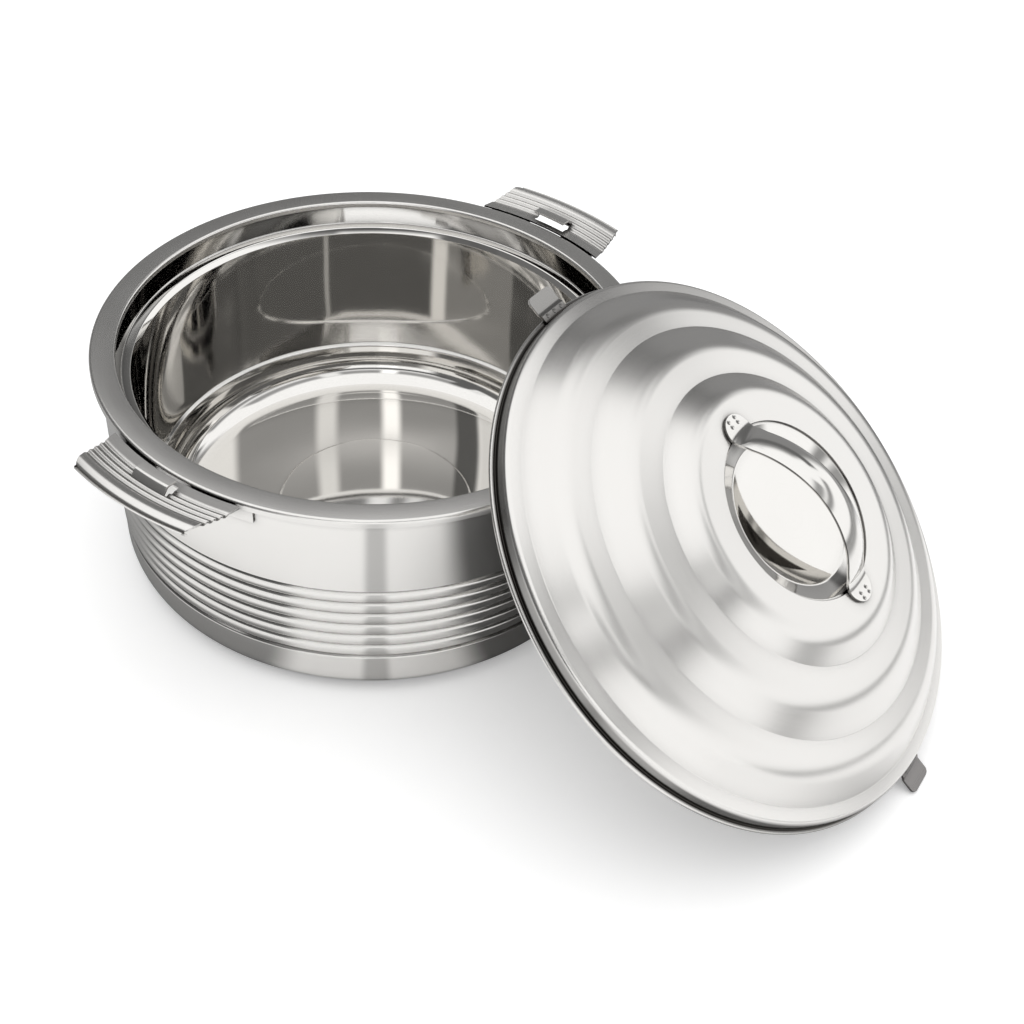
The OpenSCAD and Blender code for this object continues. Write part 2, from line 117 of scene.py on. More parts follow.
STRAP_W = 15.0
STRAP_H = 19.2
STRAP_HALF = MOUTH_R - 1.3
ARCH_R = (STRAP_HALF ** 2 + STRAP_H ** 2) / (2 * STRAP_H)
STRAP_FOOT = 9.0
STRAP_CROWN = 1.8
STRAP_T = 1.2
KNEE_BEND = 7.0
KNEE_H = 3.1                 # the arch ends this high and the knee starts
KNEE_SLOPE = 0.72            # the arch's run for its drop at the knee
CROWN_FROM = 7.0             # the arch is fully crowned from this height
WELD_X = (STRAP_HALF + 4.8, STRAP_HALF + 7.2)
WELD_Y = 2.4
ARCH_SHADE_X = 7.0               # middle of the shade painted on the strap's underside under the arch, mirrored in the dish as a dark crescent
ARCH_SHADE_HALF = 19.0           # half its length
ARCH_SHADE_W = 6.8               # its greatest width
ARCH_SHADE_SIDE = 4.4            # its straight side
LUG_W = 16.0
LUG_OUT = LID_R + 10.2
LUG_STEP = 0.9               # its plate lies this much lower than its weld flange
LUG_CORNER = 2.5
WELD_R = 1.0                 # spot weld marks
WELD_D = 0.35

# How the lid leans.
LID_TILT = math.radians(36.8)
LEAN_AZIMUTH = math.radians(8)
LID_SPIN = math.radians(-4)
LID_SIDE = -5.8              # its middle beside the leaning direction
LEAN_GAP = 0.35              # gap left at the rim

TURNS = 320                  # steps round a turned piece

# What the steel sees round it: degrees about +Z from +X, half width, lowest and highest
# elevation, softness of the edges, brightness.
STUDIO = ((118, 31, -90, 51, 7, 0.28),       # dark curtain behind the bowl
          (205, 75, -90, 35, 4, 0.17),       # dark room on the left
          (175, 100, 29, 41, 3, 0.15),       # band of the dark room all round
          (15, 45, 30, 38, 3, 0.35),         # and its grey end on the right
          (310, 40, 33, 39, 2, 0.12),        # dark strip below the lamps in front
          (325, 75, 42, 54, 4, 0.40),        # grey between the lamps in front
          (303, 5, 42, 54, 2.5, 1.7),        # lamps in front
          (341, 6, 42, 54, 3, 1.1),
          (243, 4, 42, 52, 2, 1.0),
          (305, 5, 24, 31, 1.5, 1.6),        # low lamp
          (256, 7, -90, 50, 2, 0.14),        # dark stand on the left
          (50, 50, -9, 1, 2.5, 0.36),        # grey strip along the horizon
          (131.8, 0.8, 38, 60, 0.4, 1.0),    # lit gaps in the curtain
          (129.4, 0.5, 38, 60, 0.3, 0.9),
          (178, 2.2, 27, 36, 0.8, 0.6))
# Shade painted on the floor where the steel sees it, by direction from a point above its middle.
FLOOR_SHADE_ZONES = ((190, 50, -90, 90, 9, 0.45),       # in the dark room's shade
               (92, 42, -90, 90, 8, 0.15),        # under the curtain
               (244, 46, -90, -32, 5, 0.36),      # close to the bowl, on the left
               (350, 15, -90, -18, 5, 0.22),      # under the lid
               (50, 50, -9, 1, 2.5, 0.36),        # along the horizon
               (312, 3, -90, 90, 1.2, 0.68))      # strip between the lamps
FLOOR_VIEW_HEIGHT = 100.0    # of that point
STUDIO_WHITE = 1.2           # outside all zones
FLOOR_COLOUR = 0.92
FLOOR_SHARE = 0.96           # part of the zones' brightness that the floor gives
OVERHEAD = 2.0               # light from above on the floor, least at the horizon
FLOOR_GLOW = 0.30            # lifts the floor to white for the camera alone
FLOOR_RADIUS = 1600.0

# Finishes of the steel: roughness and its spread, the colour between two shades, and the height
# of the slow waves and of the brushing, in metres.
SATIN = (0.24, 0.05, (0.735, 0.722, 0.70), (0.775, 0.763, 0.745), 0.0003, 0.0000012)
BRIGHT = (0.11, 0.03, (0.75, 0.738, 0.715), (0.79, 0.778, 0.757), 0.0003, 0.0000006)
MIRROR = (0.05, 0.02, (0.75, 0.737, 0.712), (0.81, 0.797, 0.775), 0.0003, 0.0000004)
# A darker copy of the satin steel, as painted shade on the lower lug.
SHADED_STEEL = (0.28, 0.05, (0.20, 0.192, 0.188), (0.27, 0.26, 0.255), 0.0003, 0.0000012)
BRUSH_SCALE = 2600           # noise cells per metre, across the brushing
PATCH_SCALE = 34             # of the uneven polish
WAVE_SCALE = 16              # of the slow waves
CREVICE_REACH = 6.0          # how near another surface shades the steel
CREVICE_SHADE = (0.05, 0.047, 0.044)
CREVICE_CLOSED = 0.45        # openness at which a crevice is darkest
CREVICE_OPEN = 0.97          # openness from which no shade is painted on the steel
WALL_SHADE = 0.6             # painted shade on the lid's wall, of 1
FOOT_SHADE = 0.97            # painted shade in the corner at the wall's foot
EDGE_DARKENING = 0.85            # darker colour on the strap's cut edges
WELD_DARKENING = 0.8             # darker colour in the middle of its spot welds
SMOOTH_BELOW = math.radians(28)        # flatter edges than this look rounded
WORN_ABOVE = math.radians(50)          # sharper ones than this are worn

# Sockets of a Mix node that mixes colours.
MIX_FACTOR, MIX_A, MIX_B = 0, 6, 7
MIX_RESULT = 2

# ---------------------------------------------------------------- camera

CAMERA_AT = Vector((361.8, -398.2, 492.7)) * MM
CAMERA_AZIMUTH = math.radians(35)      # turn of the view about +Z, from looking along +Y
CAMERA_DROP = math.radians(42.34)      # how far the view looks down
CAMERA_ROLL = math.radians(4.43)
CAMERA_LENS = 50.98                    # mm, on a sensor 36 mm wide


def make_camera():
    right = Vector((math.cos(CAMERA_AZIMUTH), math.sin(CAMERA_AZIMUTH), 0))
    ahead = Vector((-math.sin(CAMERA_AZIMUTH), math.cos(CAMERA_AZIMUTH), 0))
    forward = ahead * math.cos(CAMERA_DROP) - Vector((0, 0, math.sin(CAMERA_DROP)))
    up = ahead * math.sin(CAMERA_DROP) + Vector((0, 0, math.cos(CAMERA_DROP)))
    x_axis = right * math.cos(CAMERA_ROLL) + up * math.sin(CAMERA_ROLL)
    y_axis = up * math.cos(CAMERA_ROLL) - right * math.sin(CAMERA_ROLL)
    data = bpy.data.cameras.new("camera")
    data.sensor_width = 36
    data.lens = CAMERA_LENS
    data.clip_start = 0.01
    camera = bpy.data.objects.new("camera", data)
    turn = Matrix((x_axis, y_axis, -forward)).transposed().to_4x4()
    camera.matrix_world = Matrix.Translation(CAMERA_AT) @ turn
    bpy.context.scene.collection.objects.link(camera)
    bpy.context.scene.camera = camera


# ---------------------------------------------------------------- shader maths

class Wire:
    """A node's output. Python's operators on it add Math nodes, and node() adds any other node."""

    def __init__(self, socket):
        self.socket = socket

    def node(self, kind, values=None, out=0, **settings):
        tree = self.socket.id_data
        made = tree.nodes.new("ShaderNode" + kind)
        for name, value in settings.items():
            setattr(made, name, value)
        for name, value in (values or {}).items():
            if isinstance(value, Wire):
                tree.links.new(value.socket, made.inputs[name])
            else:
                made.inputs[name].default_value = value
        return Wire(made.outputs[out])

    def maths(self, operation, *others):
        return self.node("Math", dict(enumerate((self, *others))), operation=operation)

    def __add__(self, other):
        return self.maths("ADD", other)

    def __sub__(self, other):
        return self.maths("SUBTRACT", other)

    def __mul__(self, other):
        return self.maths("MULTIPLY", other)

    def __truediv__(self, other):
        return self.maths("DIVIDE", other)

    def __radd__(self, other):
        return self.maths("ADD", other)

    def __rsub__(self, other):
        return self.maths("MULTIPLY_ADD", -1, other)

    def __rmul__(self, other):
        return self.maths("MULTIPLY", other)

    def xyz(self):
        first = self.node("SeparateXYZ", {"Vector": self})
        return [Wire(output) for output in first.socket.node.outputs]


def new_material(name, metallic, roughness, colour, at=Matrix()):
    """A material, its surface shader, and a Wire with the place from an axis, in metres."""
    material = bpy.data.materials.new(name)
    material.use_nodes = True
    shader = material.node_tree.nodes["Principled BSDF"]
    shader.inputs["Metallic"].default_value = metallic
    shader.inputs["Roughness"].default_value = roughness
    shader.inputs["Base Color"].default_value = (*colour, 1)
    place = material.node_tree.nodes.new("ShaderNodeTexCoord").outputs["Object"]
    own = Wire(place).node("Mapping", {"Vector": Wire(place), "Location": at.translation,
                                       "Rotation": at.to_euler()}, vector_type="TEXTURE")
    return material, shader, own


def plug_in(shader, socket, wire):
    shader.id_data.links.new(wire.socket, shader.inputs[socket])


def ring_place(place):
    """Coordinates that change across the brushing, and slowly along it, in rings about Z."""
    x, y, z = place.xyz()
    radius = (x * x + y * y).maths("SQRT")
    return radius.node("CombineXYZ", {"X": radius, "Y": z, "Z": x * 0.02})


def noise(place, scale, detail=2.0):
    return place.node("TexNoise", {"Vector": place, "Scale": scale, "Detail": detail})


def tinted(wire, dark, light):
    """A colour between two, by the wire's value."""
    return wire.node("Mix", {MIX_FACTOR: wire, MIX_A: (*dark, 1), MIX_B: (*light, 1)},
                     out=MIX_RESULT, data_type="RGBA")


def multiplied(colour, other):
    return colour.node("Mix", {MIX_FACTOR: 1.0, MIX_A: colour, MIX_B: other},
                       out=MIX_RESULT, data_type="RGBA", blend_type="MULTIPLY")


def step_up(value, start, end):
    """0 below the start, 1 above the end, in mm, with a soft change."""
    return value.node("MapRange", {"Value": value, "From Min": start * MM, "From Max": end * MM},
                      interpolation_type="SMOOTHSTEP")


def hem_painted_shade(place):
    """1 on unshaded steel, less where shade is painted on the wall above the hem, least where it is
    painted in the corner at its foot.
    """
    x, y, z = place.xyz()
    radius = (x * x + y * y).maths("SQRT")
    wall = (step_up(radius, LID_WALL_R - 1.2, LID_WALL_R - 0.5) * step_up(z, HEM_H - 0.4, HEM_H)
            * (1 - step_up(z, LID_WALL_Z - 2.5, LID_WALL_Z - 0.5)))
    foot = (step_up(radius, LID_WALL_R - 0.6, LID_WALL_R - 0.3) * step_up(z, HEM_H - 0.5, HEM_H)
            * (1 - step_up(radius, LID_WALL_R + 0.6, LID_WALL_R + 1.1))
            * (1 - step_up(z, HEM_H + 1.3, HEM_H + 2.2)))
    return (1 - wall * WALL_SHADE) * (1 - foot * FOOT_SHADE)


def strap_shade_and_marks(place):
    """1 on plain steel, 0 where shade is painted on the underside under the arch, less on the cut
    edges and the spot welds.
    """
    x, y, z = place.xyz()
    arch = ((ARCH_R * MM) ** 2 - x * x).maths("MAXIMUM", 0.0).maths("SQRT")
    middle = (LID_TOP + STRAP_T / 2 + STRAP_H - ARCH_R) * MM + arch
    crown = y * y * (STRAP_CROWN / (STRAP_W / 2) ** 2 / MM)
    below = 1 - step_up(z - middle + crown, -0.2, 0.2)
    along = (x - ARCH_SHADE_X * MM) * (1 / ARCH_SHADE_HALF / MM)
    deep = (1 - along * along) * (ARCH_SHADE_W * MM)
    # Painted shade on the strap's underside under the arch, which the dish mirrors as a dark
    # crescent.
    arch_shade = (below * step_up(y + deep, ARCH_SHADE_SIDE - 0.1, ARCH_SHADE_SIDE + 0.1)
              * (1 - step_up(y, ARCH_SHADE_SIDE - 0.1, ARCH_SHADE_SIDE + 0.1)))
    edges = (step_up(y.maths("ABSOLUTE"), STRAP_W / 2 - 0.3, STRAP_W / 2 - 0.12)
             * step_up(z, LID_TOP + STRAP_T + 2, LID_TOP + STRAP_T + 4))
    plain_part = (1 - arch_shade) * (1 - edges * EDGE_DARKENING)
    aside = y.maths("ABSOLUTE") - WELD_Y * MM
    for weld_x in WELD_X:
        out = x.maths("ABSOLUTE") - weld_x * MM
        from_weld = (out * out + aside * aside).maths("SQRT")
        plain_part = plain_part * (step_up(from_weld, 0.4, 0.9) * WELD_DARKENING + (1 - WELD_DARKENING))
    return plain_part


def steel(name, roughness, spread, dark, light, wave, brushing, at=Matrix(), shade_and_marks=None):
    """Stainless steel with ring brushing, a slightly wavy surface, uneven polish, and shade painted
    into its colour in crevices.
    """
    material, shader, place = new_material(name, 1, roughness, light, at)
    rings = noise(ring_place(place), BRUSH_SCALE, 3)
    patches = noise(place, PATCH_SCALE, 4)
    slow = noise(place, WAVE_SCALE, 1)
    plug_in(shader, "Roughness",
            rings * spread + patches * spread + (roughness - spread))
    # Painted shade: crevices found by ambient occlusion, and the shade and marks passed in, darken
    # the base colour towards CREVICE_SHADE.
    open_part = place.node("AmbientOcclusion", {"Distance": CREVICE_REACH * MM}, out="AO", samples=4)
    plain_part = open_part.node("MapRange", {"Value": open_part, "From Min": CREVICE_CLOSED,
                                        "From Max": CREVICE_OPEN})
    if shade_and_marks:
        plain_part = plain_part * shade_and_marks(place)
    colour = tinted(patches * 0.6 + rings * 0.4, dark, light)
    plug_in(shader, "Base Color", multiplied(colour, tinted(plain_part, CREVICE_SHADE, (1, 1, 1))))
    waves = slow.node("Bump", {"Height": slow, "Strength": 1.0, "Distance": wave})
    lines = rings.node("Bump", {"Height": rings, "Strength": 1.0, "Distance": brushing,
                                "Normal": waves})
    plug_in(shader, "Normal", lines)
    return material


def foam():
    material, shader, place = new_material("foam", 0, 0.85, (0.86, 0.78, 0.52))
    cells = noise(place, 900, 4)
    plug_in(shader, "Base Color", tinted(cells, (0.74, 0.64, 0.38), (0.90, 0.83, 0.60)))
    plug_in(shader, "Normal", cells.node("Bump", {"Height": cells, "Distance": 0.0004}))
    return material


def plug_plastic():
    material, shader, place = new_material("plug_plastic", 0, 0.45, (0.05, 0.05, 0.05))
    grain = noise(place, 2200, 3)
    plug_in(shader, "Roughness", grain * 0.2 + 0.35)
    plug_in(shader, "Normal", grain.node("Bump", {"Height": grain, "Distance": 0.00004}))
    return material


# ---------------------------------------------------------------- bent sheet

def corner_arc(before, corner, after, radius, steps):
    """Points of the arc that rounds a corner between its two neighbours."""
    u = (before - corner).normalized()
    v = (after - corner).normalized()
    half = u.angle(v) / 2
    centre = corner + (u + v).normalized() * radius / math.sin(half)
    start = corner + u * radius / math.tan(half) - centre
    end = corner + v * radius / math.tan(half) - centre
    first = math.atan2(start.y, start.x)
    sweep = (math.atan2(end.y, end.x) - first + 3 * math.pi) % (2 * math.pi) - math.pi
    return [centre + radius * Vector((math.cos(first + sweep * k / steps),
                                      math.sin(first + sweep * k / steps)))
            for k in range(steps + 1)]


def bent(corners, steps=8):
    """A path from [x, y, bend radius] corners, each bend in short steps."""
    path = []
    for k, (x, y, radius) in enumerate(corners):
        here = Vector((x, y))
        if radius and 0 < k < len(corners) - 1:
            path += corner_arc(Vector(corners[k - 1][:2]), here, Vector(corners[k + 1][:2]),
                               radius, steps)
        else:
            path.append(here)
    return path


def moved_left(path, distance):
    """The path moved to its left, with mitred corners."""
    moved = []
    for k, point in enumerate(path):
        back = (path[max(k, 1)] - path[max(k, 1) - 1]).normalized()
        last = len(path) - 1
        on = (path[min(k, last - 1) + 1] - path[min(k, last - 1)]).normalized()
        a = Vector((-back.y, back.x))
        b = Vector((-on.y, on.x))
        moved.append(point + distance * (a + b) / (1 + a.dot(b)))
    return moved


def sheet(path, thickness):
    """Closed section of a sheet on the left of a path, or on its right if thickness is below 0."""
    return path + moved_left(path, thickness)[::-1]


def turned(section, steps=TURNS):
    """Points and faces of a closed section of (radius, height) turned about Z."""
    points, rings, faces = [], [], []
    for radius, z in section:
        if radius < 1e-4:
            rings.append([len(points)] * steps)
            points.append(Vector((0, 0, z)))
            continue
        rings.append(range(len(points), len(points) + steps))
        for k in range(steps):
            angle = 2 * math.pi * k / steps
            points.append(Vector((radius * math.cos(angle), radius * math.sin(angle), z)))
    for a, b in zip(rings, rings[1:] + rings[:1]):
        for k in range(steps):
            n = (k + 1) % steps
            corners = dict.fromkeys((a[k], a[n], b[n], b[k]))
            if len(corners) > 2:
                faces.append(tuple(corners))
    return points, faces


def thick_grid(rows, thickness, kept=lambda i, j: True):
    """Points and faces of a plate whose top is a grid of points, with its cells kept or cut out."""
    height, width = len(rows), len(rows[0])

    def up(i, j):
        along = rows[min(i + 1, height - 1)][j] - rows[max(i - 1, 0)][j]
        across = rows[i][min(j + 1, width - 1)] - rows[i][max(j - 1, 0)]
        return along.cross(across).normalized()

    top = [rows[i][j] for i in range(height) for j in range(width)]
    bottom = [rows[i][j] - up(i, j) * thickness for i in range(height) for j in range(width)]
    under = len(top)
    faces, edges = [], {}
    for i in range(height - 1):
        for j in range(width - 1):
            if kept(i, j):
                a = i * width + j
                loop = (a, a + 1, a + width + 1, a + width)
                faces.append(loop)
                faces.append(tuple(k + under for k in reversed(loop)))
                for p, q in zip(loop, loop[1:] + loop[:1]):
                    edges[p, q] = edges.get((p, q), 0) + 1
    for p, q in edges:
        if (q, p) not in edges:
            faces.append((q, p, p + under, q + under))
    return top + bottom, faces


def make_piece(name, shells, material, body, node, at=Matrix(), edge=0.0):
    """An object from closed shells in mm, riding on a body in place of a node."""
    made = bmesh.new()
    for points, faces in shells:
        verts = [made.verts.new(point * MM) for point in points]
        for face in faces:
            made.faces.new([verts[k] for k in face])
    loose = [vert for vert in made.verts if not vert.link_faces]
    bmesh.ops.delete(made, geom=loose, context="VERTS")
    bmesh.ops.recalc_face_normals(made, faces=made.faces)
    mesh = bpy.data.meshes.new(name)
    made.to_mesh(mesh)
    made.free()
    mesh.shade_smooth()
    mesh.set_sharp_from_angle(angle=SMOOTH_BELOW)
    mesh.materials.append(material)
    mesh.transform(at)
    piece = bpy.data.objects.new(name, mesh)
    bpy.context.scene.collection.objects.link(piece)
    if edge:
        bevel = piece.modifiers.new("worn_edges", "BEVEL")
        bevel.width = edge * MM
        bevel.segments = 3
        bevel.limit_method = "ANGLE"
        bevel.angle_limit = WORN_ABOVE
        bevel.harden_normals = True
    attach(piece, body)
    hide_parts(node)


# ---------------------------------------------------------------- bowl

def shell_path():
    """Outer surface of the shell, from under the rim down over the ribs and in below."""
    foot_z = RIB_TOP_Z - RIB_COUNT * RIB_PITCH
    skirt_r = WALL_R - RIB_COUNT * RIB_STEP
    path = [Vector((WALL_R, BOWL_H - SHEET)), Vector((WALL_R, RIB_TOP_Z + 0.9))]
    steps = 14
    for rib in range(RIB_COUNT):
        for k in range(steps):
            swell = math.sin(math.pi * k / steps) ** 0.7
            path.append(Vector((WALL_R - rib * RIB_STEP - RIB_DEPTH * (1 - swell),
                                RIB_TOP_Z - (rib + k / steps) * RIB_PITCH)))
    return path + bent([[skirt_r - RIB_DEPTH, foot_z, 0], [skirt_r, foot_z - 1, BEND],
                        [skirt_r, 0, FOOT_BEND], [BASE_OPEN_R, 0, 0]], 16)


def liner_path():
    """Inside surface of the bowl's liner, from under the rim to the middle of the floor."""
    top_r = RIM_R - RIM_BAND + SHEET + 0.1
    seat_z = BOWL_H - RECESS_H
    return bent([
        [WALL_R - SHEET, BOWL_H - SHEET, 0],
        [top_r, BOWL_H - SHEET, BEND],
        [top_r, BOWL_H - 3, 2],
        [RECESS_R, seat_z, 1],
        [LEDGE_R + 1.6, seat_z - 0.5, 0.9],
        [LEDGE_R, seat_z - LEDGE_DROP, 0.9],
        [STEP_R, STEP_Z, 0.6],
        [STEP_R - STEP_W, STEP_Z - 1.2, BEND],
        [STEP_R - STEP_W, FLOOR_Z, FLOOR_CORNER],
        [PRESS_R + 0.8, FLOOR_Z, 0.4],
        [PRESS_R, FLOOR_Z + PRESS_H, BEND],
        [0, FLOOR_Z + PRESS_H, 0]], 10)


def rim_path():
    """Upper surface of the rim's ring, from its inner edge over to its outer one."""
    return bent([
        [RIM_R - RIM_BAND, BOWL_H - 2.6, 0],
        [RIM_R - RIM_BAND, BOWL_H, BEND],
        [RIM_R, BOWL_H, RIM_BEND],
        [RIM_R, BOWL_H - RIM_EDGE_H, 0]], 10)


def make_bowl(satin, bright, mirror):
    for name, path, thickness, material, slot in (
            ("outer_shell", shell_path(), -SHEET, bright, "satin_steel"),
            ("inner_bowl", liner_path(), SHEET, mirror, "mirror_steel"),
            ("rim_ring", rim_path(), -SHEET, satin, "satin_steel")):
        make_piece(name + "_skin", [turned(sheet(path, thickness))], material, "bowl",
                   name)


# ---------------------------------------------------------------- handles

def flute_top(radius):
    return HANDLE_TOP + HANDLE_RISE * (radius - FLUTE_R) / (RIDGE_R - FLUTE_R)


def handle_path():
    """Upper surface of a handle along its radius, finely stepped."""
    path = [Vector((HANDLE_R + k, HANDLE_TOP)) for k in (0, 0.5, 1.2, 2, 2.7, 3.4, 4.2)]
    steps = 10
    for flute in range(FLUTE_COUNT):
        for k in range(steps):
            radius = FLUTE_R + (flute + k / steps) * FLUTE_W
            dip = FLUTE_D * math.sin(math.pi * k / steps) ** 1.6
            path.append(Vector((radius, flute_top(radius) - dip)))
    crest = HANDLE_TOP + HANDLE_RISE
    return path + bent([[RIDGE_R, crest, 0], [RIDGE_R + 3, crest + 0.3, 4],
                        [LIP_R - LIP_BACK - 0.6, crest - 0.7, 2.4],
                        [LIP_R - LIP_BACK, crest - LIP_DROP * 0.6, 2],
                        [LIP_R - LIP_BACK - 1, crest - LIP_DROP, 0]], 8)


def half_width(radius):
    """Half the handle's width at a radius: slanted ends with rounded outer corners."""
    slant = (radius - HANDLE_R) / (LIP_R - HANDLE_R)
    width = HANDLE_IN + (HANDLE_OUT - HANDLE_IN) * slant
    inside = max(0, radius - (LIP_R - HANDLE_CORNER)) / HANDLE_CORNER
    return width - HANDLE_CORNER * (1 - math.sqrt(1 - min(inside, 1) ** 2))


def spread(start, end, count):
    return [start + (end - start) * k / count for k in range(count + 1)]


def on_radius(radius, x, z):
    return Vector((x, math.sqrt(radius * radius - x * x), z))


def handle_shells():
    slot_half = BRIDGE_HALF + 0.3
    path = handle_path()
    rows = []
    side_steps, middle_steps = 24, 18
    for radius, z in path:
        half = half_width(radius)
        across = (spread(-half, -slot_half, side_steps)
                  + spread(-slot_half, slot_half, middle_steps)[1:]
                  + spread(slot_half, half, side_steps)[1:])
        rows.append([on_radius(radius, x, z) for x in across])

    def kept(i, j):
        middle = side_steps <= j < side_steps + middle_steps
        radius = (path[i].x + path[i + 1].x) / 2
        return not (middle and BRIDGE_R - 0.3 < radius < SLOT_OUT_R)

    bridge = bent([[BRIDGE_R, HANDLE_TOP + BRIDGE_H, 0],
                   [BRIDGE_R + BRIDGE_W, HANDLE_TOP + BRIDGE_H, 1.8],
                   [BRIDGE_FOOT_R, flute_top(BRIDGE_FOOT_R) - 0.35, 0]], 8)
    bridge_rows = [[on_radius(radius, x, z) for x in spread(-BRIDGE_HALF, BRIDGE_HALF, 16)]
                   for radius, z in bridge]
    return [thick_grid(rows, -PLATE, kept), thick_grid(bridge_rows, -PLATE)]


def make_handles(satin):
    for name, turn in HANDLE_TURNS.items():
        make_piece(name + "_plate", handle_shells(), satin, "bowl", name,
                   at=Matrix.Rotation(math.radians(turn), 4, "Z"), edge=0.22)


# ---------------------------------------------------------------- lid

def lid_place():
    """Where the lid leans: its own axis tilted out from the bowl, its edge on the floor."""
    lug_z = HEM_H - LUG_STEP
    drop = ((LUG_OUT - LUG_CORNER) * math.cos(LID_SPIN)
            + (LUG_W / 2 - LUG_CORNER) * abs(math.sin(LID_SPIN)) + LUG_CORNER)
    z = drop * math.sin(LID_TILT) - lug_z * math.cos(LID_TILT)
    x = RIM_R - RIM_BEND + (PLUG_H + RIM_BEND + LEAN_GAP
                            + (BOWL_H - RIM_BEND - z) * math.cos(LID_TILT)) / math.sin(LID_TILT)
    return (Matrix.Rotation(LEAN_AZIMUTH, 4, "Z")
            @ Matrix.Translation(Vector((x, LID_SIDE, z)) * MM)
            @ Matrix.Rotation(LID_TILT, 4, "Y") @ Matrix.Rotation(LID_SPIN, 4, "Z"))


def cover_path():
    """Outer surface of the lid's cover: hem, flange, wall, three tiers, recess mouth."""
    corners = [[LID_R - 4.2, 0, 0], [LID_R, 0, BEND], [LID_R, HEM_H, BEND],
               [LID_WALL_R, HEM_H, 0.4], [LID_WALL_R, LID_WALL_Z, 2.2]]
    for r0, z0, r1, z1 in zip(TIER_R, TIER_Z, TIER_R[1:] + (MOUTH_R,), TIER_Z[1:] + (LID_TOP,)):
        last = r1 == MOUTH_R
        side = 0.4 if last else TIER_SIDE
        lift = 1 if last else TIER_LIFT
        corners += [[r0, z0, 0.8],
                    [r0 - (r0 - r1) * side, z0 + (z1 - z0) * lift,
                     TIER_BEND * (0.8 if last else 1)]]
    return bent(corners + [[MOUTH_R, LID_TOP, 0]], 12)


def lid_liner_path():
    """Lower surface of the lid's liner, from its flange in the hem to its middle."""
    return bent([
        [LID_R - SHEET - 0.5, SHEET, 0],
        [LID_LINER_R, SHEET, 1],
        [LID_LINER_R - 0.8, -PLUG_H, 3.5],
        [PRESS_R, -PLUG_H, BEND],
        [PRESS_R - 0.8, PRESS_H - PLUG_H, 0.4],
        [0, PRESS_H - PLUG_H, 0]], 8)


def dish_path():
    """Upper surface of the polished dish in the lid's recess."""
    rim_z = LID_TOP - SHEET
    return bent([
        [MOUTH_R + 4.5, rim_z, 0],
        [MOUTH_R - 1, rim_z, BEND],
        [MOUTH_R - 1 - DISH_SIDE, LID_TOP - DISH_H, 3],
        [0, LID_TOP - DISH_H, 0]], 10)


def weld_dent(x, y, marks):
    """How deep the round weld marks dent the sheet at a point."""
    near = min(math.hypot(x - mark_x, y - mark_y) for mark_x, mark_y in marks)
    return WELD_D * max(0, 1 - (near / WELD_R) ** 2)


def strap_shell():
    """The arched strap: flat tongues for feet, smooth bends, and a crowned arch."""
    end = math.asin(STRAP_HALF / ARCH_R)
    arch = [Vector((ARCH_R * math.sin(a), STRAP_H - ARCH_R + ARCH_R * math.cos(a)))
            for a in spread(-end, end, 96)]
    arch = [point for point in arch if point.y > KNEE_H]
    tip = STRAP_HALF + STRAP_FOOT
    join = arch[-1]
    knee = Vector((join.x + join.y * KNEE_SLOPE, 0))
    right = corner_arc(join, knee, Vector((tip, 0)), KNEE_BEND, 14)
    feet = spread(right[-1].x, tip, 30)
    line = arch + right + [Vector((x, 0)) for x in feet[1:]]
    half_line = [point for point in line if point.x >= 0]
    line = [Vector((-p.x, p.y)) for p in half_line[::-1] if p.x > 1e-6] + half_line
    marks = [(x, side * WELD_Y) for x in WELD_X for side in (-1, 1)]
    rows = []
    for point in line:
        from_tip = tip - abs(point.x)
        half = STRAP_W / 2
        round_off = min(from_tip / half, 1)
        half *= math.sqrt(max(1 - (1 - round_off) ** 2, 0.0004))
        raised = min(1, max(0, point.y / CROWN_FROM))
        row = []
        for t in spread(-1, 1, 40):
            y = half * t
            dent = weld_dent(abs(point.x), y, marks) if point.y == 0 else 0
            crown = STRAP_CROWN * raised * (y / STRAP_W * 2) ** 2
            row.append(Vector((point.x, y, LID_TOP + STRAP_T + point.y - crown - dent)))
        rows.append(row)
    return thick_grid(rows, STRAP_T)


def lug_shell():
    """A lock lug: weld flange on the hem, small step, and the plate that locks."""
    start = LID_WALL_R + 0.1
    lug_z = HEM_H - LUG_STEP
    path = bent([[start, HEM_H, 0], [LID_R + 1.4, HEM_H, 0.8], [LID_R + 2.6, lug_z, 1.6],
                 [LUG_OUT, lug_z, 0]], 5)
    dense = []
    for a, b in zip(path, path[1:]):
        steps = max(1, round((b - a).length / 0.4))
        dense += [a.lerp(b, k / steps) for k in range(steps)]
    dense.append(path[-1])
    marks = [(LID_R + 0.2, side * LUG_W / 3.2) for side in (-1, 0, 1)]
    rows = []
    for x, z in dense:
        inside = min(max(0, x - (LUG_OUT - LUG_CORNER)) / LUG_CORNER, 0.999)
        half = LUG_W / 2 - LUG_CORNER * (1 - math.sqrt(1 - inside ** 2))
        rows.append([Vector((x, y, z + PLATE - weld_dent(x, y, marks)))
                     for y in spread(-half, half, 44)])
    return thick_grid(rows, PLATE)


